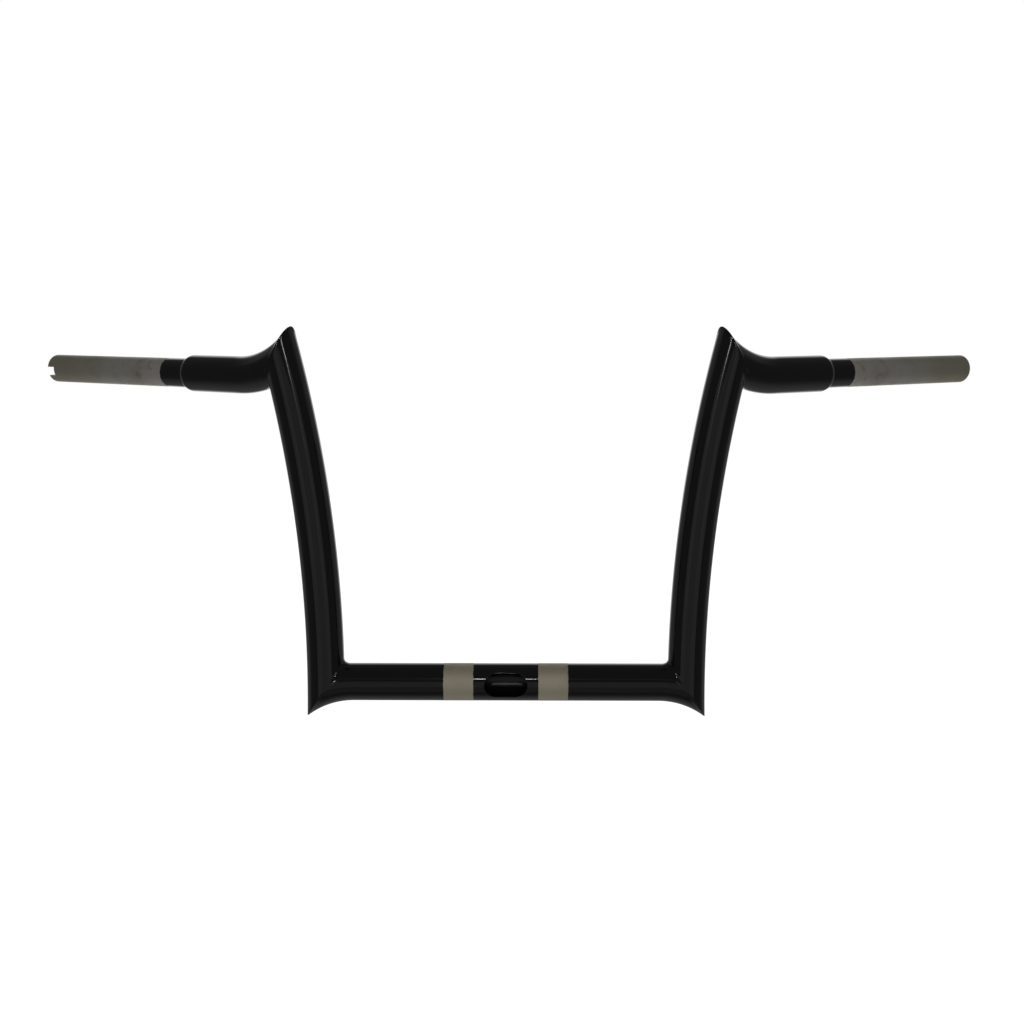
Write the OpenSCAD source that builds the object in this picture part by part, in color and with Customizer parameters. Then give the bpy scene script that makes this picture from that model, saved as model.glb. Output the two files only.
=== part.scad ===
// Ape hanger handlebar, welded from seven round tubes.
// Millimetres. X runs to the rider's left, Y back toward the rider, Z up.
// The origin is on the crossbar's axis, midway between the clamp bands.
// The rider's left side is drawn, at positive X, and mirrored for the right.

/* [Tubes] */
// Outside diameter of the crossbar, the uprights and the arms
tube_od = 31.75; // [28:0.05:36]
// Bore of the crossbar, the uprights and the arms
tube_bore = 24.95; // [24:0.05:25.3]
// Outside diameter of the grip tubes
grip_od = 25.4; // [25.4:0.05:26.4]
// Bore of the grip tubes
grip_bore = 19.3; // [16:0.1:20]

/* [Crossbar] */
// Length of the straight middle of the crossbar
bar_straight = 259; // [240:1:280]
// Centreline radius by which each end of the crossbar turns down
bar_radius = 80.5; // [74:0.5:110]
// Distance from there to the axis of an upright's foot
foot_reach = 24.1; // [22:0.1:30]
// Length of the wiring slot in the front of the crossbar
slot_length = 36; // [24:1:60]
// Width of the wiring slot, round at both ends
slot_width = 20; // [10:0.5:22]

/* [Uprights] */
// Centreline radius of the long outward curve
upright_radius = 1160; // [900:10:1600]
// Height of the upper joints above the crossbar
rise_height = 272; // [200:1:400]

/* [Arms] */
// Angle that the arms and the grips are swept back
arm_sweep = 30.7; // [20:0.1:38]
// Angle that an arm drops at its joint
arm_drop = 29; // [26:0.5:34]
// Angle that the grips rise toward their tips
grip_rise = 2; // [0:0.5:8]
// Centreline radius of the arm's bend
arm_radius = 92; // [80:1:110]
// Straight length from the bend to the end of the arm
arm_straight = 56; // [46:1:80]
// Radius of the rounded shoulder at the end of an arm
shoulder_radius = 9; // [6:0.5:12]

/* [Grip tubes] */
// Length of a grip tube outside the arm
grip_length = 177.8; // [150:0.1:220]
// Length of the turned-down end that enters the arm
grip_insert = 38; // [25:1:42]
// Width of the throttle notch in the tip of the right grip tube
notch_width = 8.3; // [5:0.1:12]
// Depth of the throttle notch along the tube
notch_depth = 8.6; // [5:0.1:16]
// Angle of the throttle notch below the front of the tube
notch_turn = 15; // [0:1:60]
// Length of the wire entry slot in a grip tube
entry_length = 24; // [14:1:32]
// Width of the wire entry slot, round at both ends
entry_width = 9.5; // [6:0.5:13]
// Distance from the end of the arm to the middle of the entry slot
entry_distance = 34; // [28:1:60]
// Angle of the entry slot below the back of the tube
entry_turn = 45; // [20:1:80]

/* [Hidden] */
tube_r = tube_od / 2;
bore_r = tube_bore / 2;
grip_r = grip_od / 2;
grip_bore_r = grip_bore / 2;
// Side of the blocks that trim a joint
block = 5 * tube_od;
// Angles that the curved tubes run past a joint before they are trimmed
bar_turn_past = 12;
upright_turn = 3;
arm_turn = 28;
// Steps of a full circle and of a full sweep in views
$fn = 64;
sweep_steps = 360;

function unit(v) = v / norm(v);
// Height of a circle above its centre
function height_at(radius, x) = sqrt(pow(radius, 2) - pow(x, 2));
// First place where a line meets a circle about the origin
function line_to_circle(p, d, radius) =
    p - d * (p * d + sqrt(pow(p * d, 2) - p * p + pow(radius, 2)));

// Lower joint, in X and Z: its outer corner and the direction of its seam
bar_bend_x = bar_straight / 2;
half_span = bar_bend_x + foot_reach;
low_outer = [half_span + tube_r, -bar_radius
    + height_at(bar_radius - tube_r, foot_reach + tube_r)];
low_inner = [half_span - tube_r, -bar_radius
    + height_at(bar_radius + tube_r, foot_reach - tube_r)];
low_seam = low_inner - low_outer;
low_seam_angle = atan2(low_seam[1], low_seam[0]);
bar_turn = asin((foot_reach + tube_r) / (bar_radius - tube_r)) + bar_turn_past;

// Upper joint: its centre, then the bend's centre seen from there
lean = asin(rise_height / upright_radius);
top_centre = [half_span + upright_radius * (1 - cos(lean)), 0, rise_height];
outward = [cos(arm_sweep), sin(arm_sweep), 0];
bend_centre = arm_radius * [sin(arm_drop), cos(arm_drop)];
// The upright's direction and side, in the upright plane of the arm
up_in_plane = unit([sin(lean) * cos(arm_sweep), cos(lean)]);
side_in_plane = [up_in_plane[1], -up_in_plane[0]];
// Peak and inner corner, where the outlines of both tubes meet
peak = bend_centre + line_to_circle(-side_in_plane * tube_r - bend_centre,
    up_in_plane, arm_radius - tube_r);
inner = bend_centre + line_to_circle(side_in_plane * tube_r - bend_centre,
    up_in_plane, arm_radius + tube_r);
top_peak = top_centre + outward * peak[0] + [0, 0, peak[1]];
top_seam = unit(outward * (inner - peak)[0] + [0, 0, (inner - peak)[1]]);
top_normal = unit(cross(cross([-sin(lean), 0, -cos(lean)], outward), top_seam));
top_side = cross(top_normal, top_seam);

// End of the arm's bend
bend_end = top_centre
    + outward * (bend_centre[0] + arm_radius * sin(grip_rise))
    + [0, 0, bend_centre[1] - arm_radius * cos(grip_rise)];

// Rounded shoulder: its length along the arm and where it starts
shoulder_length = sqrt(pow(shoulder_radius, 2)
    - pow(shoulder_radius - tube_r + grip_r, 2));
shoulder_start = arm_straight - shoulder_length / 2;
// Distance from the end of the arm to the full diameter of the grip tube
grip_start = shoulder_length / 2;

// Starts at the origin along Z and bends toward X
module bend(radius, sweep_radius, angle) {
    translate([sweep_radius, 0, 0])
        rotate([90, 0, 180])
            rotate_extrude(angle = angle, $fn = sweep_steps)
                translate([sweep_radius, 0])
                    circle(r = radius, $fn = 64);
}

module both_sides() {
    children();
    mirror([1, 0, 0]) children();
}

module lower_joint() {
    translate([low_outer[0], 0, low_outer[1]])
        rotate([0, -low_seam_angle, 0])
            children();
}

module upper_joint() {
    multmatrix([
        [top_seam[0], top_side[0], top_normal[0], top_peak[0]],
        [top_seam[1], top_side[1], top_normal[1], top_peak[1]],
        [top_seam[2], top_side[2], top_normal[2], top_peak[2]],
        [0, 0, 0, 1]
    ])
        children();
}

// Block on one side of a joint's plane: 0 for above, 1 for below
module trim(below) {
    translate([-block / 2, -block / 2, -block * below])
        cube(block);
}

module bar_run(radius) {
    translate([-bar_bend_x, 0, 0])
        rotate([0, 90, 0])
            cylinder(r = radius, h = bar_straight);
    both_sides()
        translate([bar_bend_x, 0, 0])
            rotate([0, 90, 0])
                bend(radius, bar_radius, bar_turn);
}

// Rounded slot that starts at the origin and is cut toward Z
module slot_cutter(length, width, height) {
    straight = length - width;
    translate([-straight / 2, -width / 2, 0])
        cube([straight, width, height]);
    for (end = [-1, 1])
        translate([end * straight / 2, 0, 0])
            cylinder(d = width, h = height);
}

module crossbar() {
    color("#1b1b1d")
        difference() {
            bar_run(tube_r);
            bar_run(bore_r);
            both_sides() lower_joint() trim(1);
            rotate([90, 0, 0]) slot_cutter(slot_length, slot_width, tube_od);
        }
}

module upright_run(radius) {
    translate([half_span + upright_radius, 0, 0])
        rotate([90, 0, 180])
            rotate([0, 0, -upright_turn])
                rotate_extrude(angle = lean + 2 * upright_turn, $fn = sweep_steps)
                    translate([upright_radius, 0])
                        circle(r = radius, $fn = 64);
}

module upright() {
    color("#1b1b1d")
        difference() {
            upright_run(tube_r);
            upright_run(bore_r);
            lower_joint() trim(0);
            upper_joint() trim(0);
        }
}

// Frame at the end of the arm's bend: Z along the grip, X up, Y to the front
module arm_end() {
    translate(bend_end)
        rotate([0, 0, arm_sweep])
            rotate([0, 90 - grip_rise, 0])
                rotate([0, 0, 180])
                    children();
}

module arm_run(radius, length) {
    mirror([0, 0, 1]) bend(radius, arm_radius, grip_rise + arm_drop + arm_turn);
    cylinder(r = radius, h = length);
}

// Part of the rounded shoulder, from one length along it to another
module shoulder(from, to, inside) {
    translate([0, 0, shoulder_start])
        rotate_extrude()
            intersection() {
                translate([tube_r - shoulder_radius, 0])
                    circle(r = shoulder_radius);
                translate([inside, from])
                    square([tube_r - inside, to - from]);
            }
}

module arm() {
    color("#1b1b1d")
        difference() {
            arm_end() {
                arm_run(tube_r, shoulder_start);
                shoulder(0, shoulder_length / 2, 0);
            }
            arm_end() arm_run(bore_r, arm_straight + 1);
            upper_joint() trim(1);
        }
}

// Dressed weld that closes the step between an arm and its grip tube
module shoulder_weld() {
    color("#222224")
        arm_end()
            shoulder(shoulder_length / 2, shoulder_length, bore_r);
}

module grip_tube(notched) {
    color("#8c8982")
        arm_end()
            translate([0, 0, arm_straight])
                difference() {
                    union() {
                        translate([0, 0, -grip_insert])
                            cylinder(r = bore_r, h = grip_insert + grip_start);
                        translate([0, 0, grip_start])
                            cylinder(r = grip_r, h = grip_length - grip_start);
                    }
                    translate([0, 0, -grip_insert - 1])
                        cylinder(r = grip_bore_r, h = grip_insert + grip_length + 2);
                    rotate([0, 0, -entry_turn])
                        translate([0, 0, entry_distance])
                            rotate([90, 0, 0])
                                rotate([0, 0, 90])
                                    slot_cutter(entry_length, entry_width, grip_od);
                    if (notched)
                        rotate([0, 0, notch_turn])
                            translate([-notch_width / 2, -grip_od,
                                grip_length - notch_depth])
                                cube([notch_width, 2 * grip_od, 2 * notch_depth]);
                }
}

module left_upright() { upright(); }
module right_upright() { mirror([1, 0, 0]) upright(); }
module left_arm() { arm(); }
module right_arm() { mirror([1, 0, 0]) arm(); }
module left_shoulder_weld() { shoulder_weld(); }
module right_shoulder_weld() { mirror([1, 0, 0]) shoulder_weld(); }
module left_grip_tube() { grip_tube(false); }
module right_grip_tube() { mirror([1, 0, 0]) grip_tube(true); }

crossbar();
left_upright();
right_upright();
left_arm();
right_arm();
left_shoulder_weld();
right_shoulder_weld();
left_grip_tube();
right_grip_tube();
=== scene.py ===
import logging
from dataclasses import dataclass, field
from enum import Enum
from typing import Any, Sequence, Union

import bpy
import numpy as np
from mathutils import Matrix, Vector


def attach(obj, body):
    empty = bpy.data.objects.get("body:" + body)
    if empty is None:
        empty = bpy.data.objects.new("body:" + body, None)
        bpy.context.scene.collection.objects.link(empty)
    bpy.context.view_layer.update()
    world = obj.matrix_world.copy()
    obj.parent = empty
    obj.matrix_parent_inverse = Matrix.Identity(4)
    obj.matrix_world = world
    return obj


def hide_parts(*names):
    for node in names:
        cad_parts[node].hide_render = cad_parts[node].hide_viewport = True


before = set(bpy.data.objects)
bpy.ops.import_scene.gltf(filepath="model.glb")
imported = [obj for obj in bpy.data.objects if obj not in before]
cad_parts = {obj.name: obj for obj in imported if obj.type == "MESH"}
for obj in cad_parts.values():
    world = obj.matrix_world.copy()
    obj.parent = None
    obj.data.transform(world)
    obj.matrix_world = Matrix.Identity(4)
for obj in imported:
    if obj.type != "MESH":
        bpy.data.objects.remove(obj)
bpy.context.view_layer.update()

LOG = logging.getLogger("ape_hanger")
MM = 0.001
# Points round a tube, and the turn from one to the next
AROUND = 128
STEP = 2 * np.pi / AROUND
# Angles by which the curved centrelines start before their joints
EARLY_UPRIGHT = float(np.radians(3.0))
EARLY_ARM = float(np.radians(28.0))


class Side(Enum):
    """The rider's side that a piece is on, with the sign of its X."""

    LEFT = 1.0
    RIGHT = -1.0


def unit(v: np.ndarray) -> np.ndarray:
    """Returns v, one vector or rows of vectors, at length one."""
    return v / np.linalg.norm(v, axis=-1, keepdims=True)


def about(axis: np.ndarray, angle: np.ndarray, v: np.ndarray) -> np.ndarray:
    """Turns a vector about an axis by each of several angles.

    The part of v along the axis stays, and the rest turns: v cos a
    + (axis x v) sin a + axis (axis . v)(1 - cos a).

    Args:
        axis: Unit vector.
        angle: Angles in radians, of any shape.
        v: The vector to turn.

    Returns:
        The turned vectors, with one more dimension than angle.
    """
    a = np.asarray(angle, float)[..., None]
    return v * np.cos(a) + np.cross(axis, v) * np.sin(a) + axis * (axis @ v) * (1 - np.cos(a))


@dataclass(frozen=True)
class Plane:
    """The plane in which two tubes were cut and welded together.

    Attributes:
        point: A point of the plane, in millimetres.
        normal: Its unit normal.
    """

    point: np.ndarray
    normal: np.ndarray

    def height(self, p: np.ndarray) -> np.ndarray:
        """Returns the signed distance of each point from the plane."""
        return (p - self.point) @ self.normal


@dataclass(frozen=True)
class Run:
    """One tube's centreline: a circular arc with a straight lead-out at each end.

    Attributes:
        start: Point where the arc starts, in millimetres.
        tangent: Unit direction at the start.
        radial: Unit vector across the tube that column 0 follows.
        axis: Unit axis about which the arc turns.
        radius: Radius of the arc.
        turn: Angle of the arc in radians.
    """

    start: np.ndarray
    tangent: np.ndarray
    radial: np.ndarray
    axis: np.ndarray
    radius: float
    turn: float

    def frame_at(self, s: np.ndarray) -> tuple[np.ndarray, np.ndarray, np.ndarray, np.ndarray]:
        """Follows the centreline.

        Inside the arc the direction is the tangent turned by s / radius, and
        the point is the integral of that direction. Before and after it, the
        line goes on straight.

        Args:
            s: Distances along the line from the start, of any shape.

        Returns:
            The points, tangents, radial vectors and side vectors there.
        """
        s = np.asarray(s, float)
        inside = np.clip(s, 0.0, self.radius * self.turn)
        a = inside / self.radius
        inward = np.cross(self.axis, self.tangent)
        point = self.start + self.radius * (self.tangent * np.sin(a)[..., None] + inward * (1 - np.cos(a))[..., None])
        t = about(self.axis, a, self.tangent)
        u = about(self.axis, a, self.radial)
        return point + t * (s - inside)[..., None], t, u, np.cross(t, u)

    def surface(self, s: np.ndarray, phi: np.ndarray, r: Union[float, np.ndarray]) -> np.ndarray:
        """Places points on the tube: the centreline's point plus r times the
        radial vector turned by phi about the tangent.

        Args:
            s: Distance along the line for each point.
            phi: Angle round the tube in radians, of the same shape.
            r: Radius, one number or one for each point.

        Returns:
            The points, with a last dimension of three.
        """
        c, _, u, v = self.frame_at(s)
        r = np.broadcast_to(np.asarray(r, float), np.shape(s))[..., None]
        return c + r * (u * np.cos(phi)[..., None] + v * np.sin(phi)[..., None])

    def meets(self, plane: Plane, phi: np.ndarray, r: float, low: float, high: float) -> np.ndarray:
        """Finds where each line along the tube passes a plane.

        Args:
            plane: The plane to meet.
            phi: Angle round the tube of each line.
            r: Radius of the tube.
            low: Distance along the line that lies before the plane.
            high: Distance along the line that lies past it.

        Returns:
            The distance along the line of each meeting point, by halving.
        """
        a, b = np.full(phi.shape, low), np.full(phi.shape, high)
        first = np.sign(plane.height(self.surface(a, phi, r)))
        for _ in range(48):
            m = 0.5 * (a + b)
            same = np.sign(plane.height(self.surface(m, phi, r))) == first
            a, b = np.where(same, m, a), np.where(same, b, m)
        return 0.5 * (a + b)


class Shell:
    """Collects grids of points and joins them into one closed surface."""

    def __init__(self) -> None:
        """Starts with no points and no faces."""
        self.points: list[np.ndarray] = []
        self.faces: list[np.ndarray] = []
        self.count = 0

    def grid(self, p: np.ndarray, closed: bool = False, flip: bool = False) -> None:
        """Adds a grid of points as four-sided faces.

        Args:
            p: Points in rows and columns, in millimetres.
            closed: Whether the last column joins the first.
            flip: Whether the faces are turned over.
        """
        rows, cols = p.shape[:2]
        index = np.arange(rows * cols).reshape(rows, cols) + self.count
        right = np.roll(index, -1, axis=1) if closed else index[:, 1:]
        left = index if closed else index[:, :-1]
        quads = np.stack([left[:-1], right[:-1], right[1:], left[1:]], -1).reshape(-1, 4)
        self.faces.append(quads[:, ::-1] if flip else quads)
        self.points.append(p.reshape(-1, 3))
        self.count += rows * cols

    def joined(self) -> tuple[np.ndarray, np.ndarray]:
        """Merges points within half a micrometre and drops flattened faces.

        Returns:
            The points in metres and the faces as rows of four indices.
        """
        p = np.concatenate(self.points)
        keys = np.round(p * 2000).astype(np.int64)
        _, first, back = np.unique(keys, axis=0, return_index=True, return_inverse=True)
        quads = back.reshape(-1)[np.concatenate(self.faces)]
        nxt = np.roll(quads, -1, axis=1)
        keep = ((quads == nxt).sum(1) <= 1) & (quads[:, 0] != quads[:, 2]) & (quads[:, 1] != quads[:, 3])
        return p[first] * MM, quads[keep]

    def build(self, name: str, sharp: float = 32.0, mirror: bool = False) -> bpy.types.Object:
        """Makes the Blender object.

        Args:
            name: Name of the piece.
            sharp: Angle in degrees above which an edge stays sharp.
            mirror: Whether the piece is the mirror image in X.

        Returns:
            The object, with its place in its mesh.
        """
        points, quads = self.joined()
        if mirror:
            points = points * np.array([-1.0, 1.0, 1.0])
            quads = quads[:, ::-1]
        faces = [tuple(dict.fromkeys(q)) for q in quads.tolist()]
        mesh = bpy.data.meshes.new(name)
        mesh.from_pydata(points.tolist(), [], faces)
        mesh.update()
        mesh.polygons.foreach_set("use_smooth", np.ones(len(mesh.polygons), bool))
        mesh.set_sharp_from_angle(angle=np.radians(sharp))
        obj = bpy.data.objects.new(name, mesh)
        bpy.context.collection.objects.link(obj)
        return obj


def bridge(a: np.ndarray, b: np.ndarray, rows: int = 2) -> np.ndarray:
    """Returns rows of points that go in straight lines from row a to row b."""
    t = np.linspace(0.0, 1.0, rows)[:, None, None]
    return a[None] * (1 - t) + b[None] * t


def blended(
    a: np.ndarray, ta: np.ndarray, b: np.ndarray, tb: np.ndarray, rows: int, full: Union[float, np.ndarray] = 2 / 3,
) -> np.ndarray:
    """Rounds a joint between two rows of points.

    Each column is a cubic Bezier curve that leaves a along ta and arrives at
    b along tb, so that it is tangent to both surfaces.

    Args:
        a: First row of points.
        ta: Tangents there, as long as the way to the sharp corner.
        b: Last row of points.
        tb: Tangents there, pointing back from the sharp corner to b.
        rows: Number of rows to return.
        full: Length of the curve's handles as a share of ta and tb. At 4/3
            the curve passes through the sharp corner.

    Returns:
        The rows of points, a and b included.
    """
    t = np.linspace(0.0, 1.0, rows)[:, None, None]
    k = np.broadcast_to(full, a.shape[0])[:, None]
    return (
        (1 - t) ** 3 * a + 3 * (1 - t) ** 2 * t * (a + k * ta)
        + 3 * (1 - t) * t**2 * (b - k * tb) + t**3 * b
    )


def stadium(angle: np.ndarray, half_length: float, half_width: float) -> np.ndarray:
    """Distance from a round-ended slot's middle to its edge in each direction.

    On the straight sides it is half_width / |sin a|. On the round ends it is
    c |cos a| + sqrt(w^2 - (c sin a)^2), where c is the distance from the
    middle to the centre of an end and w is half_width.

    Args:
        angle: Directions in radians, from the slot's long axis.
        half_length: Half the slot's overall length.
        half_width: Half its width.

    Returns:
        The distances.
    """
    c = half_length - half_width
    si, co = np.abs(np.sin(angle)), np.abs(np.cos(angle))
    flat = half_width / np.maximum(si, 1e-9)
    ends = c * co + np.sqrt(np.maximum(half_width**2 - (c * si) ** 2, 0.0))
    return np.where(flat * co <= c, flat, ends)


@dataclass
class SlotPatch:
    """A length of tube with a round-ended slot cut straight through its wall.

    The slot lies in a rectangle of the wall, and plain wall goes on round the
    tube from there.

    Attributes:
        run: Centreline of the tube.
        middle: Distance along the tube to the slot's middle.
        reach: Half the rectangle's length along the tube.
        rows: Number of intervals along the tube.
        column: Column of the grid at the slot's middle.
        columns: Number of columns that the rectangle reaches to each side.
        half_length: Half the slot's length.
        half_width: Half its width.
        edge: Radius by which the slot's outer edge is rounded.
    """

    run: Run
    middle: float
    reach: float
    rows: int
    column: int
    columns: int
    half_length: float
    half_width: float
    edge: float = 0.7

    def border(self) -> tuple[np.ndarray, np.ndarray]:
        """Walks round the rectangle on the grid's own points.

        Returns:
            The distance along the tube and the angle from the slot's middle,
            both for each point of the border.
        """
        x = np.linspace(-self.reach, self.reach, self.rows + 1)
        w = np.arange(-self.columns, self.columns + 1) * STEP
        s = np.concatenate([x[:-1], np.full(w.size - 1, x[-1]), x[:0:-1], np.full(w.size - 1, x[0])])
        a = np.concatenate([np.full(x.size - 1, w[0]), w[:-1], np.full(x.size - 1, w[-1]), w[:0:-1]])
        return s, a

    def add(self, shell: Shell, outer: float, inner: float) -> None:
        """Adds the outer skin, the slot's wall and the inner skin.

        Inside the rectangle the skins are rings between its border and the
        slot, drawn straight in the unrolled sheet of the tube. The slot's
        wall goes straight through.

        Args:
            shell: The shell that receives the grids.
            outer: Outside radius of the tube.
            inner: Bore radius.
        """
        s, a = self.border()
        phi0 = self.column * STEP
        way = np.arctan2(a * outer, s)
        edge = stadium(way, self.half_length, self.half_width)
        es, eh = edge * np.cos(way), edge * np.sin(way)
        back = self.edge / edge

        def skin(r: float, grow: float) -> tuple[np.ndarray, np.ndarray]:
            """Returns the slot's outline, a little enlarged, in the unrolled sheet."""
            h = np.clip(eh * (1 + back * grow) / r, -0.999, 0.999)
            return es * (1 + back * grow), np.arcsin(h)

        def place(ss: np.ndarray, aa: np.ndarray, r: float) -> np.ndarray:
            """Puts points of the unrolled sheet onto the tube."""
            return self.run.surface(self.middle + ss, phi0 + aa, r)

        t = (np.linspace(0.0, 1.0, 10) ** 1.5)[:, None]
        s1, a1 = skin(outer, 1.0)
        out_skin = place(s1 * (1 - t) + s * t, a1 * (1 - t) + a * t, outer)
        s2, a2 = skin(inner, 0.0)
        in_skin = place(s2 * (1 - t) + s * t, a2 * (1 - t) + a * t, inner)
        s0, a0 = skin(outer, 0.0)
        corner, foot = place(s0, a0, outer), in_skin[0]
        depth = unit(foot - corner) * self.edge
        roll = blended(out_skin[0], corner - out_skin[0], corner + depth, depth, 6)
        shell.grid(out_skin, closed=True)
        shell.grid(roll[::-1], closed=True)
        shell.grid(bridge(foot, corner + depth, 4), closed=True)
        shell.grid(in_skin, closed=True, flip=True)
        index = np.arange(self.column + self.columns, self.column - self.columns + AROUND + 1)
        rings = self.middle + np.linspace(-self.reach, self.reach, self.rows + 1)
        sg, pg = np.meshgrid(rings, index * STEP, indexing="ij")
        shell.grid(self.run.surface(sg, pg, outer))
        shell.grid(self.run.surface(sg, pg, inner), flip=True)


@dataclass
class BarGeometry:
    """Sizes of the handlebar's centrelines, in millimetres and degrees.

    They are the driving sizes of the CAD source.
    """

    tube: float = 15.875
    bore: float = 12.475
    bar_straight: float = 259.0
    bar_radius: float = 80.5
    half_span: float = 153.6
    upright_radius: float = 1160.0
    rise_height: float = 272.0
    sweep: float = 30.7
    drop: float = 29.0
    rise: float = 2.0
    arm_radius: float = 92.0
    arm_straight: float = 56.0

    @property
    def lean(self) -> float:
        """Angle in radians by which an upright leans out at its top."""
        return float(np.arcsin(self.rise_height / self.upright_radius))

    def crossbar(self) -> Run:
        """Centreline of the crossbar's left half, from the start of its bend."""
        return Run(
            np.array([self.bar_straight / 2, 0.0, 0.0]), np.array([1.0, 0, 0]), np.array([0, 0, -1.0]),
            np.array([0, 1.0, 0]), self.bar_radius, np.radians(50.0),
        )

    def upright(self) -> Run:
        """Centreline of the left upright, from a little below the bar."""
        co, si = np.cos(EARLY_UPRIGHT), np.sin(EARLY_UPRIGHT)
        c = np.array([self.half_span + self.upright_radius, 0.0, 0.0])
        return Run(
            c + self.upright_radius * np.array([-co, 0.0, -si]), np.array([-si, 0.0, co]), np.array([co, 0.0, si]),
            np.array([0, 1.0, 0]), self.upright_radius, self.lean + 2 * EARLY_UPRIGHT,
        )

    def top(self) -> np.ndarray:
        """Centre of the upper joint."""
        return np.array([self.half_span + self.upright_radius * (1 - np.cos(self.lean)), 0.0, self.rise_height])

    def outward(self) -> np.ndarray:
        """Level direction in which the arm and the grip are swept."""
        a = np.radians(self.sweep)
        return np.array([np.cos(a), np.sin(a), 0.0])

    def arm(self) -> Run:
        """Centreline of the left arm, from before the joint.

        Its columns are the upright's, mirrored in the plane that halves the
        angle between the two centrelines, so that they meet at the joint.
        """
        h, z = self.outward(), np.array([0, 0, 1.0])
        drop = np.radians(self.drop)
        centre = self.top() + self.arm_radius * (h * np.sin(drop) + z * np.cos(drop))
        axis = np.cross(h, z)
        begin = drop + EARLY_ARM
        start = centre + self.arm_radius * (-h * np.sin(begin) - z * np.cos(begin))
        tangent = h * np.cos(begin) - z * np.sin(begin)
        along_post = np.array([np.sin(self.lean), 0.0, np.cos(self.lean)])
        across_post = np.array([np.cos(self.lean), 0.0, -np.sin(self.lean)])
        m = unit(h * np.cos(drop) - z * np.sin(drop) + along_post)
        radial = about(axis, np.array(-EARLY_ARM), across_post - 2 * (across_post @ m) * m)
        return Run(start, tangent, radial, axis, self.arm_radius, begin + np.radians(self.rise))

    def arm_joint(self) -> float:
        """Distance along the arm's centreline to the joint's centre."""
        return self.arm_radius * EARLY_ARM

    def arm_end(self) -> float:
        """Distance along the arm's centreline to the end of the tube."""
        return self.arm_radius * (EARLY_ARM + float(np.radians(self.drop + self.rise))) + self.arm_straight

    def lower_plane(self) -> Plane:
        """Plane of the lower joint, through the corners of both outlines."""
        x0 = self.bar_straight / 2
        xo, xi = self.half_span + self.tube, self.half_span - self.tube
        zo = -self.bar_radius + np.sqrt((self.bar_radius - self.tube) ** 2 - (xo - x0) ** 2)
        zi = -self.bar_radius + np.sqrt((self.bar_radius + self.tube) ** 2 - (xi - x0) ** 2)
        d = unit(np.array([xi - xo, 0.0, zi - zo]))
        return Plane(np.array([xo, 0.0, zo]), np.array([-d[2], 0.0, d[0]]))

    def upper_plane(self) -> Plane:
        """Plane of the upper joint, through its peak and its inner corner."""
        h, z, r = self.outward(), np.array([0, 0, 1.0]), self.tube
        u = unit(np.array([np.sin(self.lean) * h[0], np.cos(self.lean)]))
        side = np.array([u[1], -u[0]])
        drop = np.radians(self.drop)
        o = self.arm_radius * np.array([np.sin(drop), np.cos(drop)])

        def hit(p: np.ndarray, radius: float) -> np.ndarray:
            """Returns where a line along the upright first meets the arm's outline."""
            q = p - o
            b = float(q @ u)
            return o + q - u * (b + np.sqrt(b * b - q @ q + radius**2))

        peak, inner = hit(-side * r, self.arm_radius - r), hit(side * r, self.arm_radius + r)
        seam = unit(h * (inner - peak)[0] + z * (inner - peak)[1])
        down = np.array([-np.sin(self.lean), 0.0, -np.cos(self.lean)])
        return Plane(self.top() + h * peak[0] + z * peak[1], unit(np.cross(np.cross(down, h), seam)))


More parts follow.
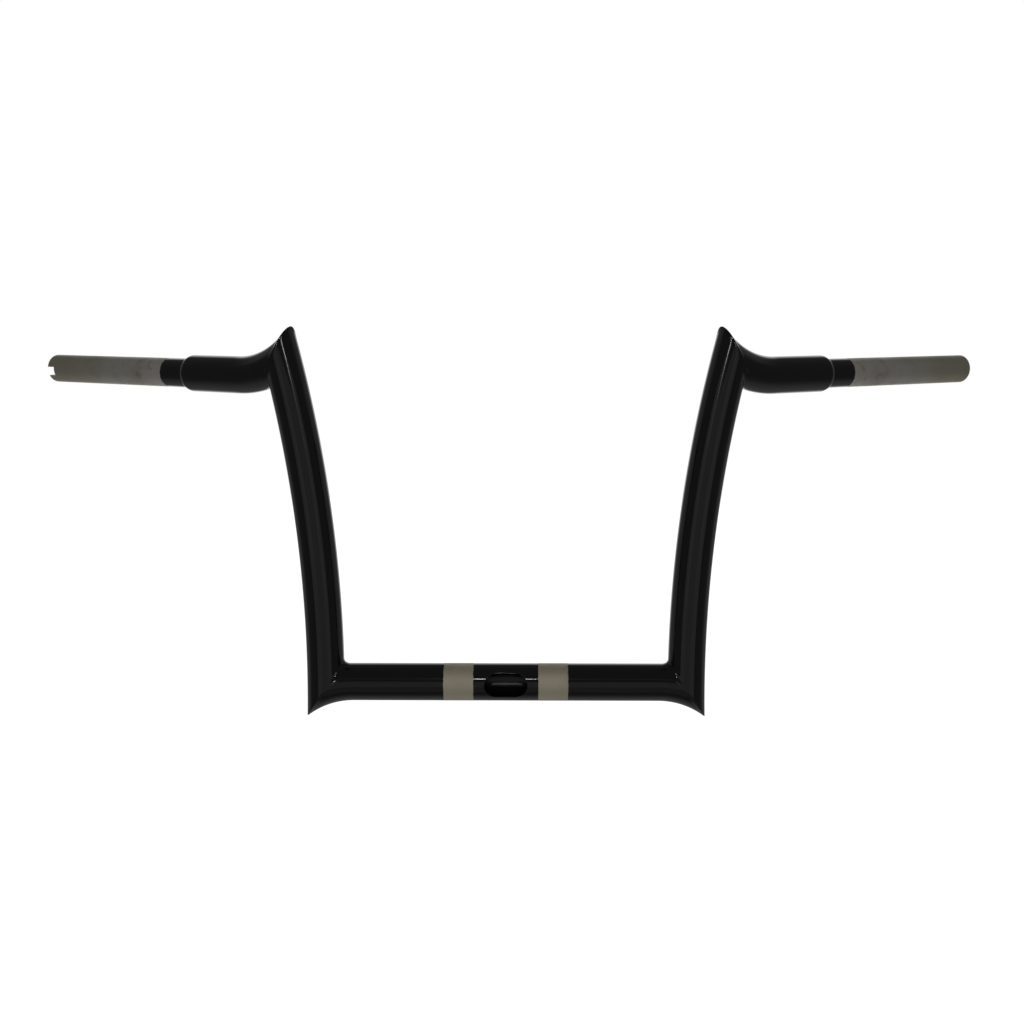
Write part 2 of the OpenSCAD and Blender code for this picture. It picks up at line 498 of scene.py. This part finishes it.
@dataclass
class PaintedFrame:
    """The crossbar, uprights and arms as one welded and painted shell.

    Attributes:
        sizes: The centrelines.
        round_out: Length of tube taken by the rounding at a joint's outside.
        round_in: Length of tube taken by the weld's fillet at its inside.
        crest: Length taken by the full, rounded crest of the upper joint.
        crest_in: Length taken by the fillet at the upper joint's inside.
        tight: The same length in the bore, where nothing is rounded.
        patch_reach: Half the length of the crossbar's middle, with the slot.
        slot_length: Length of the wiring slot.
        slot_width: Its width.
        shoulder: Radius of the rounded end of an arm.
        grip: Outside radius of a grip tube.
    """

    sizes: BarGeometry = field(default_factory=BarGeometry)
    round_out: float = 2.4
    round_in: float = 4.8
    crest: float = 4.6
    crest_in: float = 5.5
    tight: float = 0.3
    patch_reach: float = 30.0
    slot_length: float = 36.0
    slot_width: float = 20.0
    shoulder: float = 9.0
    grip: float = 12.7

    def angles(self) -> np.ndarray:
        """Angle round the tube of each column."""
        return np.arange(AROUND) * STEP

    def span(self, run: Run, start: np.ndarray, end: np.ndarray, r: float, step: float) -> np.ndarray:
        """Rows of points along a tube from one row of distances to another.

        Args:
            run: Centreline of the tube.
            start: Distance along the line at which each column starts.
            end: Distance at which it ends.
            r: Radius of the surface.
            step: Largest distance between rows.

        Returns:
            The grid of points.
        """
        rows = int(np.ceil(np.max(end - start) / step)) + 1
        t = np.linspace(0.0, 1.0, rows)[:, None]
        s = start * (1 - t) + end * t
        return run.surface(s, np.broadcast_to(self.angles(), s.shape), r)

    def weld(
        self, a: Run, sa: np.ndarray, b: Run, sb: np.ndarray, wide: np.ndarray, r: float,
        full: Union[float, np.ndarray] = 2 / 3, rows: int = 13,
    ) -> np.ndarray:
        """Rounds the joint between two tubes.

        Args:
            a: Centreline before the joint.
            sa: Distance along it of each column's last point.
            b: Centreline after the joint.
            sb: Distance along it of each column's first point.
            wide: Length of tube that the rounding takes in each column.
            r: Radius of both tubes.
            full: How far the rounding reaches toward the sharp corner.
            rows: Number of rows of points.

        Returns:
            The grid of points.
        """
        phi = self.angles()
        ta, tb = a.frame_at(sa)[1] * wide[:, None], b.frame_at(sb)[1] * wide[:, None]
        return blended(a.surface(sa, phi, r), ta, b.surface(sb, phi, r), tb, rows, full)

    def side_skin(self, shell: Shell, r: float, bore: bool) -> None:
        """Adds one skin of the left side, from the crossbar's middle to the arm.

        Outside, a joint's rounding goes smoothly from its outer corner to its
        inner one, by a cosine of the angle round the tube.

        Args:
            shell: The shell that receives the grids.
            r: Radius of the skin.
            bore: Whether it is the bore, which faces in and is coarser.
        """
        g, phi = self.sizes, self.angles()
        bar, post, arm = g.crossbar(), g.upright(), g.arm()
        low, high = g.lower_plane(), g.upper_plane()
        _, _, up, vp = post.frame_at(np.array(post.radius * (g.lean + EARLY_UPRIGHT)))
        ahead = arm.frame_at(np.array(g.arm_joint()))[1]
        inner = 0.5 * (1 + np.cos(phi - np.arctan2(vp @ ahead, up @ ahead)))
        wide_low = self.round_out + (self.round_in - self.round_out) * 0.5 * (1 - np.cos(phi))
        wide_top = self.crest + (self.crest_in - self.crest) * inner
        full: Union[float, np.ndarray] = 2 / 3 + 2 / 3 * (1 - inner) ** 2
        step, bent_step, rows = 3.0, 2.4, 13
        if bore:
            wide_low = wide_top = np.full(AROUND, self.tight)
            full, step, bent_step, rows = 2 / 3, 7.5, 6.0, 5
        end_bar = bar.meets(low, phi, r, -20.0, 62.0) - wide_low
        start_post = post.meets(low, phi, r, 0.0, 130.0) + wide_low
        end_post = post.meets(high, phi, r, 200.0, 396.0) - wide_top
        start_arm = arm.meets(high, phi, r, -20.0, 110.0) + wide_top
        end_arm = np.full(AROUND, g.arm_end() if bore else self.shoulder_start())
        first = np.full(AROUND, self.patch_reach - g.bar_straight / 2)
        for grid in (
            self.span(bar, first, end_bar, r, step),
            self.weld(bar, end_bar, post, start_post, wide_low, r, rows=rows),
            self.span(post, start_post, end_post, r, step),
            self.weld(post, end_post, arm, start_arm, wide_top, r, full, rows),
            self.span(arm, start_arm, end_arm, r, bent_step),
        ):
            shell.grid(grid, closed=True, flip=bore)

    def shoulder_length(self) -> float:
        """Length of the rounded shoulder along the arm."""
        return float(np.sqrt(self.shoulder**2 - (self.shoulder - self.sizes.tube + self.grip) ** 2))

    def shoulder_start(self) -> float:
        """Distance along the arm's centreline at which the shoulder starts."""
        return self.sizes.arm_end() - self.shoulder_length() / 2

    def add_shoulder(self, shell: Shell) -> None:
        """Adds the rounded end of the arm, its weld and the seat of the grip tube.

        The rounding is an arc: at a distance x past its start the radius is
        tube - shoulder + sqrt(shoulder^2 - x^2).

        Args:
            shell: The shell that receives the grids.
        """
        g = self.sizes
        end = g.arm_end()
        x = np.linspace(0.0, 1.0, 14) * self.shoulder_length()
        r = g.tube - self.shoulder + np.sqrt(self.shoulder**2 - x**2)
        s = np.concatenate([self.shoulder_start() + x, [end, end]])
        r = np.concatenate([r, [self.grip, g.bore]])
        sg, phi = np.meshgrid(s, self.angles(), indexing="ij")
        shell.grid(g.arm().surface(sg, phi, np.repeat(r[:, None], AROUND, 1)), closed=True)

    def add_middle(self, shell: Shell) -> None:
        """Adds the middle of the crossbar, with the wiring slot in its front.

        Args:
            shell: The shell that receives the grids.
        """
        g = self.sizes
        front = 3 * AROUND // 4
        SlotPatch(
            g.crossbar(), -g.bar_straight / 2, self.patch_reach, rows=24, column=front, columns=21,
            half_length=self.slot_length / 2, half_width=self.slot_width / 2,
        ).add(shell, g.tube, g.bore)

    def build(self, finish: "Finish") -> bpy.types.Object:
        """Builds the shell and dresses it.

        Args:
            finish: Its paint.

        Returns:
            The piece.
        """
        half = Shell()
        self.side_skin(half, self.sizes.tube, bore=False)
        self.side_skin(half, self.sizes.bore, bore=True)
        self.add_shoulder(half)
        whole = Shell()
        for sign in (1.0, -1.0):
            for p in half.points:
                whole.points.append(p * np.array([sign, 1.0, 1.0]))
            whole.faces += [(f if sign > 0 else f[:, ::-1]) + whole.count for f in half.faces]
            whole.count += half.count
        self.add_middle(whole)
        obj = whole.build("painted_frame")
        obj.data.materials.append(finish.material())
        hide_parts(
            "crossbar", "left_upright", "right_upright", "left_arm", "right_arm",
            "left_shoulder_weld", "right_shoulder_weld",
        )
        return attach(obj, "root")


@dataclass
class GripTube:
    """A bare 1 inch tube that carries the controls and the grip.

    Attributes:
        side: The rider's side.
        sizes: The centrelines.
        outer: Outside radius, in millimetres.
        bore: Bore radius.
        length: Length outside the arm.
        insert: Length of the turned-down end inside the arm.
        entry: Distance from the arm's end to the wire entry slot's middle.
        entry_length: Length of that slot.
        entry_width: Its width.
        entry_turn: Angle of that slot below the tube's back, in degrees.
        patch_reach: Half the length of the wall round the slot.
        tip: Length of the tube's tip, which has a grid of its own.
        notch_width: Width of the throttle notch.
        notch_depth: Depth of the throttle notch.
        notch_turn: Angle of the notch below the tube's front, in degrees.
        notch_columns: Number of columns from the notch's middle to its edge.
    """

    side: Side
    sizes: BarGeometry = field(default_factory=BarGeometry)
    outer: float = 12.7
    bore: float = 9.65
    length: float = 177.8
    insert: float = 38.0
    entry: float = 34.0
    entry_length: float = 24.0
    entry_width: float = 9.5
    entry_turn: float = 45.0
    patch_reach: float = 16.0
    tip: float = 20.0
    notch_width: float = 8.3
    notch_depth: float = 8.6
    notch_turn: float = 15.0
    notch_columns: int = 7

    def centreline(self) -> Run:
        """Straight centreline, whose column 0 runs through the entry slot.

        Columns count on from there by the right-hand rule.
        """
        c, t, _, _ = self.sizes.arm().frame_at(np.array(self.sizes.arm_end()))
        up, back = self.across(t)
        turn = np.radians(self.entry_turn)
        return Run(c, t, back * np.cos(turn) - up * np.sin(turn), up, 1e6, 0.0)

    def across(self, t: np.ndarray) -> tuple[np.ndarray, np.ndarray]:
        """Returns the unit vectors up and back across a tube with tangent t."""
        up = unit(np.array([0, 0, 1.0]) - t * t[2])
        back = np.cross(up, t)
        return up, back * np.sign(back[1])

    def add_body(self, shell: Shell, line: Run) -> None:
        """Adds the plain lengths of both skins, the wire slot and the hidden end.

        Args:
            shell: The shell that receives the grids.
            line: The tube's centreline.
        """
        def ring(s: Sequence[float], r: float) -> np.ndarray:
            """Returns rows of points round the tube at radius r."""
            sg, pg = np.meshgrid(np.asarray(s, float), np.arange(AROUND) * STEP, indexing="ij")
            return line.surface(sg, pg, r)

        before, after = self.entry - self.patch_reach, self.entry + self.patch_reach
        far = np.linspace(after, self.length - self.tip, 40)
        shell.grid(ring(np.linspace(0, before, 7), self.outer), closed=True)
        shell.grid(ring(far, self.outer), closed=True)
        shell.grid(ring(far, self.bore), closed=True, flip=True)
        shell.grid(ring(np.linspace(-self.insert, before, 14), self.bore), closed=True, flip=True)
        turned_down = ring([-self.insert, 0.0], self.sizes.bore)
        shell.grid(
            np.concatenate([ring([-self.insert], self.bore), turned_down, ring([0.0], self.outer)]), closed=True,
        )
        SlotPatch(
            line, self.entry, self.patch_reach, rows=16, column=0, columns=24,
            half_length=self.entry_length / 2, half_width=self.entry_width / 2, edge=0.35,
        ).add(shell, self.outer, self.bore)

    def add_tip(self, shell: Shell, line: Run) -> None:
        """Adds the plain open tip with a softened edge.

        Args:
            shell: The shell that receives the grids.
            line: The tube's centreline.
        """
        e = 0.5
        q = np.linspace(0, np.pi / 2, 5)
        start, soft = self.length - self.tip, self.length - e
        s = np.concatenate([np.linspace(start, soft, 7), soft + e * np.sin(q[1:]), soft + e * np.cos(q), [start]])
        r = np.concatenate([
            np.full(7, self.outer), self.outer - e + e * np.cos(q[1:]), self.bore + e - e * np.sin(q), [self.bore],
        ])
        sg, pg = np.meshgrid(s, np.arange(AROUND) * STEP, indexing="ij")
        shell.grid(line.surface(sg, pg, np.repeat(r[:, None], AROUND, 1)), closed=True)

    def add_notched_tip(self, shell: Shell, line: Run) -> None:
        """Adds the tip with a notch milled across it through both walls.

        The columns near the notch slide round the tube until one lies on each
        of its edges. An edge stands at asin(half width / radius) from the
        middle of the notch, which differs between the two skins.

        Args:
            shell: The shell that receives the grids.
            line: The tube's centreline.
        """
        half, edge = AROUND // 2, self.notch_columns
        start, floor = self.length - self.tip, self.length - self.notch_depth
        first = round(np.radians(180.0 + self.entry_turn + self.notch_turn) / STEP) * STEP
        k = np.arange(AROUND)

        def warped(r: float) -> np.ndarray:
            """Returns the angle of each column, counted from the notch."""
            a = np.arcsin(self.notch_width / 2 / r)
            turn = np.interp(np.arange(half + 1), [0, edge, half - edge, half], [0, a, np.pi - a, np.pi])
            return np.where(k <= half, turn[np.minimum(k, half)], 2 * np.pi - turn[np.minimum(AROUND - k, half)])

        angles = {r: first + warped(r) for r in (self.outer, self.bore)}
        t = np.linspace(0, 1, 7)[:, None]
        s = np.repeat(start * (1 - t) + floor * t, AROUND, 1)
        for r, inward in ((self.outer, False), (self.bore, True)):
            shell.grid(line.surface(s, (first + k * STEP) * (1 - t) + angles[r] * t, r), closed=True, flip=inward)
        e = 0.4
        q = np.linspace(0, np.pi / 2, 4)[1:]
        ear = np.concatenate([np.linspace(floor, self.length - e, 5), self.length - e + e * np.sin(q)])
        fall = np.concatenate([np.zeros(5), e - e * np.cos(q)])

        def skin(r: float, cols: np.ndarray, inner: float) -> np.ndarray:
            """Returns one skin of an ear, whose radius changes at its softened end."""
            sg, pg = np.meshgrid(ear, angles[r][cols], indexing="ij")
            return line.surface(sg, pg, np.repeat((r + inner * fall)[:, None], cols.size, 1))

        for low, high in ((edge, half - edge), (half + edge, AROUND - edge)):
            cols = np.arange(low, high + 1)
            out, ins = skin(self.outer, cols, -1.0), skin(self.bore, cols, 1.0)
            shell.grid(out)
            shell.grid(ins, flip=True)
            shell.grid(np.stack([out[-1], ins[-1]]))
            shell.grid(np.stack([out[:, 0], ins[:, 0]]))
            shell.grid(np.stack([out[:, -1], ins[:, -1]]), flip=True)
        for low, high in ((-edge, edge), (half - edge, half + edge)):
            cols = np.arange(low, high + 1) % AROUND
            row = np.full(cols.size, floor)
            shell.grid(np.stack([line.surface(row, angles[r][cols], r) for r in (self.outer, self.bore)]))

    def build(self, finish: "Finish") -> bpy.types.Object:
        """Builds the tube and dresses it.

        Args:
            finish: Its bare steel and the paint at its inner end.

        Returns:
            The piece.
        """
        shell, line = Shell(), self.centreline()
        self.add_body(shell, line)
        if self.side is Side.RIGHT:
            self.add_notched_tip(shell, line)
        else:
            self.add_tip(shell, line)
        name = f"{self.side.name.lower()}_grip_tube"
        obj = shell.build(name + "_steel", mirror=self.side is Side.RIGHT)
        self.mark(obj, line)
        obj.data.materials.append(finish.material())
        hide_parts(name)
        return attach(obj, "root")

    def mark(self, obj: bpy.types.Object, line: Run) -> None:
        """Writes a UV map: U is the distance past the arm in decimetres, and V
        is the angle round the tube from its front, in turns either way.

        Args:
            obj: The tube.
            line: Its centreline, on the left side.
        """
        mesh = obj.data
        co = np.empty(len(mesh.vertices) * 3, np.float32)
        mesh.vertices.foreach_get("co", co)
        p = co.reshape(-1, 3).astype(float) / MM * np.array([self.side.value, 1.0, 1.0])
        c, t, _, _ = line.frame_at(np.array(0.0))
        d = p - c
        up, back = self.across(t)
        u = d @ t / 100.0
        v = np.arctan2(d @ up, d @ -back) / (2 * np.pi)
        loops = np.empty(len(mesh.loops), np.int32)
        mesh.loops.foreach_get("vertex_index", loops)
        layer = mesh.uv_layers.new(name="along_tube")
        layer.data.foreach_set("uv", np.stack([u[loops], v[loops]], -1).astype(np.float32).ravel())


Value = Union[float, "Socket"]


class Socket:
    """A node's output, on which Python's operators add Math nodes."""

    def __init__(self, tree: "Tree", out: bpy.types.NodeSocket) -> None:
        """Keeps the socket and the tree that it belongs to."""
        self.tree, self.out = tree, out

    def _math(self, operation: str, *values: Value) -> "Socket":
        """Adds one Math node.

        Args:
            operation: Blender's name of the operation.
            values: Its inputs in order.

        Returns:
            The node's output.
        """
        return self.tree.node("ShaderNodeMath", {"operation": operation}, dict(enumerate(values)))

    def __add__(self, other: Value) -> "Socket":
        """Sum."""
        return self._math("ADD", self, other)

    __radd__ = __add__

    def __sub__(self, other: Value) -> "Socket":
        """Difference."""
        return self._math("SUBTRACT", self, other)

    def __rsub__(self, other: Value) -> "Socket":
        """Difference with the socket on the right."""
        return self._math("SUBTRACT", other, self)

    def __mul__(self, other: Value) -> "Socket":
        """Product."""
        return self._math("MULTIPLY", self, other)

    __rmul__ = __mul__

    def __pow__(self, other: Value) -> "Socket":
        """Power."""
        return self._math("POWER", self, other)

    def __abs__(self) -> "Socket":
        """Absolute value."""
        return self._math("ABSOLUTE", self)

    def step(self, low: float, high: float, start: float = 0.0, end: float = 1.0) -> "Socket":
        """Goes smoothly from start to end while the value goes from low to high."""
        return self.tree.node(
            "ShaderNodeMapRange", {"interpolation_type": "SMOOTHSTEP"},
            {"Value": self, "From Min": low, "From Max": high, "To Min": start, "To Max": end},
        )


class Tree:
    """Node tree of one material or of the surroundings."""

    def __init__(self, owner: Union[bpy.types.Material, bpy.types.World], shader: str = "Principled BSDF") -> None:
        """Starts the owner's nodes, which hold only a shader and an output."""
        owner.use_nodes = True
        self.nodes, self.links = owner.node_tree.nodes, owner.node_tree.links
        self.shader = self.nodes[shader]

    def node(self, kind: str, settings: dict[str, Any], values: dict[Any, Any], out: Union[int, str] = 0) -> Socket:
        """Adds a node.

        Args:
            kind: Blender's name of the node type.
            settings: Properties that are set before its sockets.
            values: Number, colour or Socket for each input, by name or index.
            out: Name or index of the output to return.

        Returns:
            That output.
        """
        n = self.nodes.new(kind)
        for key, value in settings.items():
            setattr(n, key, value)
        for key, value in values.items():
            if isinstance(value, Socket):
                self.links.new(value.out, n.inputs[key])
            else:
                n.inputs[key].default_value = value
        return Socket(self, n.outputs[out])

    def place(self) -> Socket:
        """Returns the object's own coordinates, in metres."""
        return self.node("ShaderNodeTexCoord", {}, {}, "Object")

    def split(self, vector: Socket) -> tuple[Socket, Socket, Socket]:
        """Returns a vector's three parts."""
        n = self.node("ShaderNodeSeparateXYZ", {}, {"Vector": vector}).out.node
        return Socket(self, n.outputs[0]), Socket(self, n.outputs[1]), Socket(self, n.outputs[2])

    def noise(self, vector: Socket, scale: float, detail: float = 3.0, rough: float = 0.5) -> Socket:
        """Returns a noise value with features of one over scale."""
        values = {"Vector": vector, "Scale": scale, "Detail": detail, "Roughness": rough}
        return self.node("ShaderNodeTexNoise", {}, values, "Fac")

    def stretched(self, vector: Socket, scale: Sequence[float]) -> Socket:
        """Returns a vector with each part multiplied by its own factor."""
        return self.node("ShaderNodeVectorMath", {"operation": "MULTIPLY"}, {0: vector, 1: tuple(scale)})

    def mix(self, factor: Value, a: Any, b: Any) -> Socket:
        """Returns a colour between a and b."""
        n = self.node("ShaderNodeMix", {"data_type": "RGBA"}, {0: factor, 6: a, 7: b}).out.node
        return Socket(self, n.outputs[2])

    def bump(self, height: Socket, distance: float, strength: float) -> Socket:
        """Returns a normal roughened by a height in units of distance metres."""
        values = {"Height": height, "Distance": distance, "Strength": strength}
        return self.node("ShaderNodeBump", {}, values, "Normal")

    def set(self, **values: Any) -> None:
        """Sets or links the shader's sockets, named with underscores for spaces."""
        for key, value in values.items():
            s = self.shader.inputs[key.replace("_", " ")]
            if isinstance(value, Socket):
                self.links.new(value.out, s)
            else:
                s.default_value = value


class Finish:
    """A finish that can be put on a piece."""

    def material(self) -> bpy.types.Material:
        """Returns the finish as a Blender material."""
        raise NotImplementedError


@dataclass(frozen=True)
class GlossPaint(Finish):
    """Black gloss paint over the welded tubes, with two bare clamp bands.

    Attributes:
        colour: Colour of the paint.
        rough: Its roughness.
        band_middle: Distance of a band's middle from the bar's, in metres.
        band_half: Half a band's width.
        metal: Colour of the bare bands.
    """

    colour: tuple[float, float, float, float] = (0.006, 0.0062, 0.0066, 1.0)
    rough: float = 0.06
    band_middle: float = 0.040
    band_half: float = 0.0125
    metal: tuple[float, float, float, float] = (0.8, 0.735, 0.585, 1.0)

    def material(self) -> bpy.types.Material:
        """Returns the paint, with the bands masked on the object's own X and
        the duller inside of the crossbar's middle on its distance from there."""
        material = bpy.data.materials.new("black_gloss_paint")
        t = Tree(material)
        p = t.place()
        x, y, z = t.split(p)
        inside = (y * y + z * z).step(0.000188, 0.0002, 1.0, 0.0) * abs(x).step(0.06, 0.07, 1.0, 0.0)
        ragged = (t.noise(p, 420.0, 2.0) - 0.5) * 0.0012
        off = abs(abs(x) - self.band_middle) + ragged
        band = off.step(self.band_half - 0.00025, self.band_half + 0.00025, 1.0, 0.0) * z.step(0.03, 0.04, 1.0, 0.0)
        peel = t.noise(p, 260.0, 2.0, 0.45)
        grain = t.noise(t.stretched(p, (2600.0, 900.0, 900.0)), 1.0, 2.0)
        blotch = t.noise(p, 70.0, 3.0)
        metal = t.mix(blotch, (*(c * 0.8 for c in self.metal[:3]), 1.0), self.metal)
        metal = t.mix(grain.step(0.35, 0.75, 0.0, 0.4), metal, (0.85, 0.8, 0.65, 1.0))
        t.set(
            Base_Color=t.mix(band, self.colour, metal),
            Roughness=self.rough + band * 0.66 + inside * 0.22,
            Metallic=band * 0.85,
            Normal=t.bump(peel * (1.0 - band) + grain * band * 3.0, 0.00002, 0.35),
        )
        return material


@dataclass(frozen=True)
class BareSteel(Finish):
    """Brushed steel tube with paint on its inner end and stains beside it.

    Attributes:
        painted: Length of the painted end, in metres.
        steel: Colour of the clean steel.
        warm: Colour of its browner patches.
    """

    painted: float = 0.028
    steel: tuple[float, float, float, float] = (0.61, 0.6, 0.555, 1.0)
    warm: tuple[float, float, float, float] = (0.52, 0.475, 0.41, 1.0)

    def material(self) -> bpy.types.Material:
        """Returns the steel, with the paint masked on the tube's own U."""
        material = bpy.data.materials.new("bare_brushed_steel")
        t = Tree(material)
        p = t.place()
        u, _, _ = t.split(t.node("ShaderNodeUVMap", {"uv_map": "along_tube"}, {}))
        along = u * 0.1
        ragged = (t.noise(p, 500.0, 2.0) - 0.5) * 0.0011
        paint = (along + ragged).step(self.painted - 0.0002, self.painted + 0.0002, 1.0, 0.0)
        rings = t.noise(t.node("ShaderNodeCombineXYZ", {}, {0: along * 2600.0}), 1.0, 2.0)
        cloud = t.noise(p, 38.0, 4.0, 0.6)
        flecks = t.noise(p, 95.0, 4.0, 0.62)
        stain = along.step(self.painted + 0.01, self.painted + 0.075, 1.0, 0.0) * flecks.step(0.5, 0.7)
        tip = along.step(0.1768, 0.1776)
        steel = t.mix(cloud.step(0.35, 0.7), self.steel, self.warm)
        steel = t.mix(rings.step(0.3, 0.8, 0.0, 0.35), steel, (0.8, 0.785, 0.73, 1.0))
        steel = t.mix(along.step(0.028, 0.06, 0.35, 0.0), steel, (0.9, 0.86, 0.8, 1.0))
        steel = t.mix(along.step(0.07, 0.172) * 0.8, steel, (0.46, 0.44, 0.325, 1.0))
        steel = t.mix(stain * 0.6, steel, (0.4, 0.25, 0.18, 1.0))
        steel = t.mix(tip * 0.7, steel, (0.1, 0.095, 0.08, 1.0))
        t.set(
            Base_Color=t.mix(paint, steel, GlossPaint.colour),
            Roughness=0.07 * paint + (1.0 - paint) * (0.46 + 0.14 * cloud),
            Metallic=0.92 - 0.92 * paint,
            Normal=t.bump(rings * (1.0 - paint), 0.00001, 0.3),
        )
        return material


@dataclass(frozen=True)
class Glow(Finish):
    """Even white light from a sheet of the set.

    Attributes:
        name: Name of the material.
        level: Its brightness, where one is white.
    """

    name: str
    level: float

    def material(self) -> bpy.types.Material:
        """Returns a plain glowing material."""
        material = bpy.data.materials.new(self.name)
        Tree(material).set(Base_Color=(0, 0, 0, 1), Emission_Color=(1, 1, 1, 1), Emission_Strength=self.level)
        return material


@dataclass
class Studio:
    """The camera, the pale floor and the soft light.

    Attributes:
        eye: The camera's place, in millimetres.
        pitch: Its angle above level, in degrees.
        yaw: Its angle to the left of straight ahead.
        roll: Its turn about the view.
        focal: Distance to the picture in pixels of a 1024 wide frame.
        front: Distance in metres from the bar to the light cards.
        room: Brightness of the dim room, where one is white.
        side_wall: What the walls beside and behind add to it.
        back_wall: What the bright sweep behind adds.
        under: What the floor below and behind adds.
        ahead: What the floor in front adds.
        strip: Lowest and highest edge and brightness of the parts of the two
            narrow strips of light, which grow brighter upward.
    """

    eye: tuple[float, float, float] = (12.26, -1005.13, 243.78)
    pitch: float = -5.58
    yaw: float = 0.41
    roll: float = -0.04
    focal: float = 1200.0
    front: float = 2.42
    room: float = 0.1
    side_wall: float = 0.13
    back_wall: float = 0.8
    under: float = 0.2
    ahead: float = 0.08
    strip: tuple[tuple[float, float, float], ...] = (
        (-0.3, 0.4, 0.55), (0.4, 0.62, 1.0), (0.62, 0.72, 2.2), (0.72, 0.8, 6.0), (0.8, 1.3, 16.0),
    )

    def camera(self) -> bpy.types.Object:
        """Makes the camera of the photograph's view.

        Returns:
            The camera, set as the scene's.
        """
        turn = (
            Matrix.Rotation(np.radians(self.yaw), 3, "Z")
            @ Matrix.Rotation(np.radians(self.pitch), 3, "X")
            @ Matrix.Rotation(np.radians(self.roll), 3, "Y")
        )
        right, ahead, up = turn.col[0], turn.col[1], turn.col[2]
        data = bpy.data.cameras.new("view")
        data.sensor_width = 36.0
        data.lens = 36.0 * self.focal / 1024.0
        data.clip_start, data.clip_end = 0.01, 30.0
        cam = bpy.data.objects.new("view", data)
        rows = Matrix((right, up, -ahead)).transposed().to_4x4()
        cam.matrix_world = Matrix.Translation(Vector(self.eye) * MM) @ rows
        bpy.context.collection.objects.link(cam)
        bpy.context.scene.camera = cam
        return cam

    def sheet(self, name: str, corners: Sequence[Sequence[float]], level: float) -> bpy.types.Object:
        """Adds a flat glowing sheet to the set.

        Args:
            name: Its name.
            corners: Its four corners, in metres.
            level: Its brightness.

        Returns:
            The sheet, marked as part of the set.
        """
        mesh = bpy.data.meshes.new(name)
        mesh.from_pydata([tuple(c) for c in corners], [], [(0, 1, 2, 3)])
        obj = bpy.data.objects.new(name, mesh)
        bpy.context.collection.objects.link(obj)
        mesh.materials.append(Glow(name + "_glow", level).material())
        return obj

    def floor(self) -> None:
        """Adds the pale floor. It reads white, and the world lights the scene."""
        e, z = 9.0, -0.62
        obj = self.sheet("pale_floor", [(-e, -e, z), (e, -e, z), (e, e, z), (-e, e, z)], 1.0)
        obj.visible_diffuse = obj.visible_glossy = obj.visible_shadow = False

    def card(self, name: str, x: Sequence[float], z: Sequence[float], level: float, near: float = 0.0) -> None:
        """Adds an upright card of light in front, which the camera can't see.

        Args:
            name: Its name.
            x: Its two ends from left to right, in metres.
            z: Its lowest and highest edge.
            level: Its brightness.
            near: How much nearer than the other cards it stands.
        """
        y = near - self.front
        obj = self.sheet(name, [(x[0], y, z[0]), (x[1], y, z[0]), (x[1], y, z[1]), (x[0], y, z[1])], level)
        obj.visible_camera = obj.visible_shadow = False

    def world(self) -> None:
        """Sets the surroundings: a dim room, a bright sweep behind and under the
        object, and white for what the camera sees directly."""
        world = bpy.data.worlds.new("studio")
        t = Tree(world, "Background")
        x, y, z = t.split(t.node("ShaderNodeTexCoord", {}, {}, "Generated"))
        flat = (x * x + y * y + 1e-6) ** 0.5
        behind = y * flat ** -1.0
        low = 1.0 - z.step(0.45, 0.7)
        steep = (0.0 - z).step(0.3, 0.62)
        walls = self.side_wall * behind.step(0.0, 0.3) + self.back_wall * behind.step(0.8, 0.9)
        under = (0.0 - z).step(0.35, 0.85) * y.step(-0.4, 0.15)
        ahead = (0.0 - z).step(0.3, 0.36) * z.step(-0.84, -0.76) * y.step(-0.55, -0.4, 1.0, 0.0)
        level = self.room + walls * low * (1.0 - steep) + self.under * under + self.ahead * ahead
        seen = t.node("ShaderNodeLightPath", {}, {}, "Is Camera Ray")
        t.set(Color=(1, 1, 1, 1), Strength=level * (1.0 - seen) + seen)
        bpy.context.scene.world = world

    def build(self) -> None:
        """Builds the whole set."""
        scene = bpy.context.scene
        scene.view_settings.view_transform = "Standard"
        self.camera()
        self.floor()
        self.world()
        self.card("soft_front_middle", (-0.75, 0.75), (-0.9, 0.52), 0.25)
        for name, x in (("right", -1.0), ("left", 1.0)):
            self.card(f"soft_front_{name}", sorted((0.75 * x, 2.2 * x)), (-0.9, 0.95), 0.31)
            for i, (low, high, level) in enumerate(self.strip):
                self.card(f"strip_{name}_{i}", (1.17 * x - 0.05, 1.17 * x + 0.05), (low, high), level, 0.01)
        self.card("small_lamp", (-0.17, 0.06), (1.33, 1.41), 42.0, 0.02)
        self.card("lamp_row", (-1.1, 1.1), (1.35, 1.41), 0.4, 0.01)


def main() -> None:
    """Builds the set and every piece, and reports each one."""
    logging.basicConfig(level=logging.INFO, format="%(message)s")
    Studio().build()
    pieces = [PaintedFrame().build(GlossPaint())]
    steel = BareSteel()
    pieces += [GripTube(side).build(steel) for side in Side]
    for piece in pieces:
        LOG.info("%s: %d faces", piece.name, len(piece.data.polygons))


if __name__ == "__main__":
    main()
